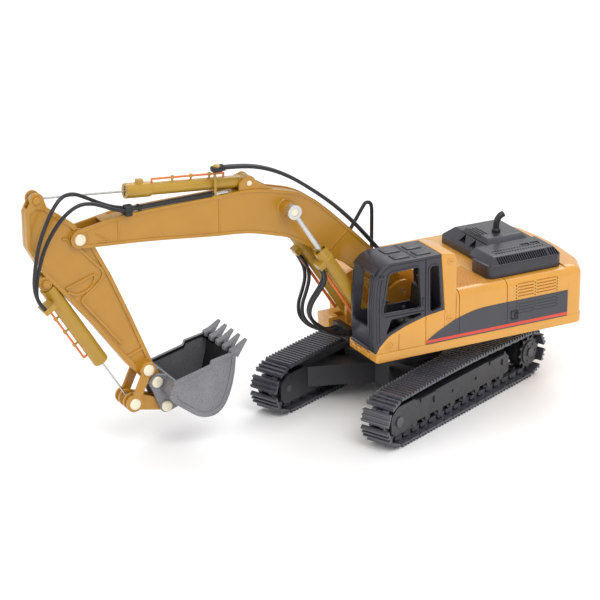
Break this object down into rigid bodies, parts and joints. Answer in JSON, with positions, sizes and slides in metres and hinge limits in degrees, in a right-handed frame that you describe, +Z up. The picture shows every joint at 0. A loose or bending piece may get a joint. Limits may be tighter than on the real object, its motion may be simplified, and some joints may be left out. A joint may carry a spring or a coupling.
{
  "type": "toy excavator",
  "caption": "Toy crawler excavator with a swinging house, hinged boom, arm and bucket, hydraulic cylinders and tracks.",
  "frame": {"origin": "on the ground, on the vertical axis that the house swings about", "axes": "+X along the tracks towards the idlers, +Y to the machine's left, +Z up"},
  "size_m": [0.2606, 0.1415, 0.1294],
  "materials": {
    "undercarriage_black": "satin black",
    "track_black": "satin black",
    "pin_steel": "satin",
    "house_yellow": "satin yellow paint",
    "cab_grey": "satin dark grey",
    "trim_black": "matt black",
    "boom_yellow": "satin ochre paint",
    "cylinder_yellow": "satin mustard paint",
    "rod_chrome": "polished",
    "pipe_orange": "gloss orange",
    "hose_black": "matt black",
    "bucket_grey": "satin grey"
  },
  "bodies": {
    "undercarriage": {"car_body": "undercarriage_black", "slew_ring": "undercarriage_black", "track_frame_left": "undercarriage_black", "track_frame_right": "undercarriage_black", "track_shoes_left": "track_black", "track_shoes_right": "track_black", "track_pins": "pin_steel", "track_rollers": "undercarriage_black", "wheel_axles": "pin_steel"},
    "idler_left": {"idler_left": "undercarriage_black"},
    "idler_right": {"idler_right": "undercarriage_black"},
    "sprocket_left": {"sprocket_left": "undercarriage_black"},
    "sprocket_right": {"sprocket_right": "undercarriage_black"},
    "house": {"deck": "house_yellow", "slew_pivot": "pin_steel", "cab_shell": "cab_grey", "cab_roof": "cab_grey", "cab_side_panel": "house_yellow", "cab_interior": "trim_black", "cab_rear_wall": "house_yellow", "engine_cover": "house_yellow", "counterweight": "house_yellow", "engine_hood": "cab_grey", "exhaust_pipe": "trim_black", "filler_cap": "house_yellow", "right_body": "house_yellow", "handrail": "trim_black", "boom_bracket": "house_yellow", "bracket_pins": "pin_steel", "hose_manifold": "trim_black", "boom_cylinder_hoses_left": "hose_black", "boom_cylinder_hoses_right": "hose_black"},
    "boom": {"boom_shell_left": "boom_yellow", "boom_shell_right": "boom_yellow", "boom_pins": "pin_steel", "boom_cylinder_pin": "pin_steel", "arm_cylinder_bracket": "boom_yellow", "hose_fittings": "trim_black", "boom_hoses": "hose_black", "arm_hoses": "hose_black"},
    "boom_barrel_left": {"boom_barrel_left": "cylinder_yellow"},
    "boom_barrel_right": {"boom_barrel_right": "cylinder_yellow"},
    "boom_rod_left": {"boom_rod_left": "rod_chrome"},
    "boom_rod_right": {"boom_rod_right": "rod_chrome"},
    "arm_barrel": {"arm_barrel": "cylinder_yellow", "arm_pipe": "pipe_orange"},
    "arm_rod": {"arm_rod": "rod_chrome"},
    "arm": {"arm_shell_left": "boom_yellow", "arm_shell_right": "boom_yellow", "arm_pins": "pin_steel"},
    "rocker": {"rocker_plates": "boom_yellow", "rocker_pins": "pin_steel"},
    "bucket_link": {"bucket_link": "boom_yellow"},
    "bucket_barrel": {"bucket_barrel": "cylinder_yellow", "bucket_pipe": "pipe_orange"},
    "bucket_rod": {"bucket_rod": "rod_chrome"},
    "bucket": {"bucket_shell": "bucket_grey", "bucket_teeth": "bucket_grey", "bucket_pins": "pin_steel"}
  },
  "joints": [
    {"name": "house_swing", "type": "hinge", "parent": "undercarriage", "child": "house", "pos_m": [0, 0, 0.03], "axis": [0, 0, 1], "continuous": true},
    {"name": "boom_lift", "type": "hinge", "parent": "house", "child": "boom", "pos_m": [0.00348, -0.00153, 0.0534], "axis": [-0.4019, -0.9157, 0], "range_deg": [-25, 15]},
    {"name": "arm_swing", "type": "hinge", "parent": "boom", "child": "arm", "pos_m": [0.15044, -0.06604, 0.1054], "axis": [-0.4019, -0.9157, 0], "range_deg": [-16, 45], "deforming": ["arm_hoses"]},
    {"name": "bucket_curl", "type": "hinge", "parent": "arm", "child": "bucket", "pos_m": [0.11894, -0.05221, 0.0323], "axis": [-0.4019, -0.9157, 0], "range_deg": [-15, 80]},
    {"name": "sprocket_turn_left", "type": "hinge", "parent": "undercarriage", "child": "sprocket_left", "pos_m": [-0.0525, 0.032, 0.0118], "axis": [0, 1, 0], "continuous": true},
    {"name": "sprocket_turn_right", "type": "hinge", "parent": "undercarriage", "child": "sprocket_right", "pos_m": [-0.0525, -0.032, 0.0118], "axis": [0, 1, 0], "continuous": true},
    {"name": "idler_turn_left", "type": "hinge", "parent": "undercarriage", "child": "idler_left", "pos_m": [0.054, 0.032, 0.0123], "axis": [0, 1, 0], "continuous": true},
    {"name": "idler_turn_right", "type": "hinge", "parent": "undercarriage", "child": "idler_right", "pos_m": [0.054, -0.032, 0.0123], "axis": [0, 1, 0], "continuous": true},
    {"name": "boom_barrel_left_tilt", "type": "hinge", "parent": "house", "child": "boom_barrel_left", "pos_m": [0.02124, -0.00932, 0.042], "axis": [-0.4019, -0.9157, 0], "range_deg": [-27, 17], "deforming": ["boom_cylinder_hoses_left"]},
    {"name": "boom_rod_left_tilt", "type": "hinge", "parent": "boom", "child": "boom_rod_left", "pos_m": [0.05851, -0.02568, 0.1036], "axis": [-0.4019, -0.9157, 0], "range_deg": [-2, 2]},
    {"name": "boom_barrel_right_tilt", "type": "hinge", "parent": "house", "child": "boom_barrel_right", "pos_m": [0.02124, -0.00932, 0.042], "axis": [-0.4019, -0.9157, 0], "range_deg": [-27, 17], "deforming": ["boom_cylinder_hoses_right"]},
    {"name": "boom_rod_right_tilt", "type": "hinge", "parent": "boom", "child": "boom_rod_right", "pos_m": [0.05851, -0.02568, 0.1036], "axis": [-0.4019, -0.9157, 0], "range_deg": [-2, 2]},
    {"name": "arm_barrel_tilt", "type": "hinge", "parent": "boom", "child": "arm_barrel", "pos_m": [0.07508, -0.03296, 0.1178], "axis": [-0.4019, -0.9157, 0], "range_deg": [-4, 9]},
    {"name": "arm_rod_tilt", "type": "hinge", "parent": "arm", "child": "arm_rod", "pos_m": [0.16729, -0.07344, 0.1256], "axis": [-0.4019, -0.9157, 0], "range_deg": [-40, 16]},
    {"name": "rocker_tilt", "type": "hinge", "parent": "arm", "child": "rocker", "pos_m": [0.12325, -0.0541, 0.0395], "axis": [-0.4019, -0.9157, 0], "range_deg": [-13, 64]},
    {"name": "bucket_link_tilt", "type": "hinge", "parent": "bucket", "child": "bucket_link", "pos_m": [0.11482, -0.0504, 0.0199], "axis": [-0.4019, -0.9157, 0], "range_deg": [-43, 10]},
    {"name": "bucket_barrel_tilt", "type": "hinge", "parent": "arm", "child": "bucket_barrel", "pos_m": [0.16491, -0.07239, 0.0872], "axis": [-0.4019, -0.9157, 0], "range_deg": [-2, 4]},
    {"name": "bucket_rod_tilt", "type": "hinge", "parent": "rocker", "child": "bucket_rod", "pos_m": [0.12966, -0.05692, 0.0245], "axis": [-0.4019, -0.9157, 0], "range_deg": [-62, 13]}
  ],
  "couplings": [
    {"joint": "idler_turn_left", "follows": "sprocket_turn_left", "ratio": 0.9432},
    {"joint": "idler_turn_right", "follows": "sprocket_turn_right", "ratio": 0.9432},
    {"joint": "boom_barrel_left_tilt", "follows": "boom_lift", "ratio": 1.0438},
    {"joint": "boom_rod_left_tilt", "follows": "boom_lift", "ratio": 0.0438},
    {"joint": "boom_barrel_right_tilt", "follows": "boom_lift", "ratio": 1.0438},
    {"joint": "boom_rod_right_tilt", "follows": "boom_lift", "ratio": 0.0438},
    {"joint": "arm_barrel_tilt", "follows": "arm_swing", "ratio": 0.1567},
    {"joint": "arm_rod_tilt", "follows": "arm_swing", "ratio": -0.8433},
    {"joint": "rocker_tilt", "follows": "bucket_curl", "ratio": 0.7772},
    {"joint": "bucket_link_tilt", "follows": "bucket_curl", "ratio": -0.5113},
    {"joint": "bucket_barrel_tilt", "follows": "bucket_curl", "ratio": 0.0286},
    {"joint": "bucket_rod_tilt", "follows": "bucket_curl", "ratio": -0.7486}
  ]
}
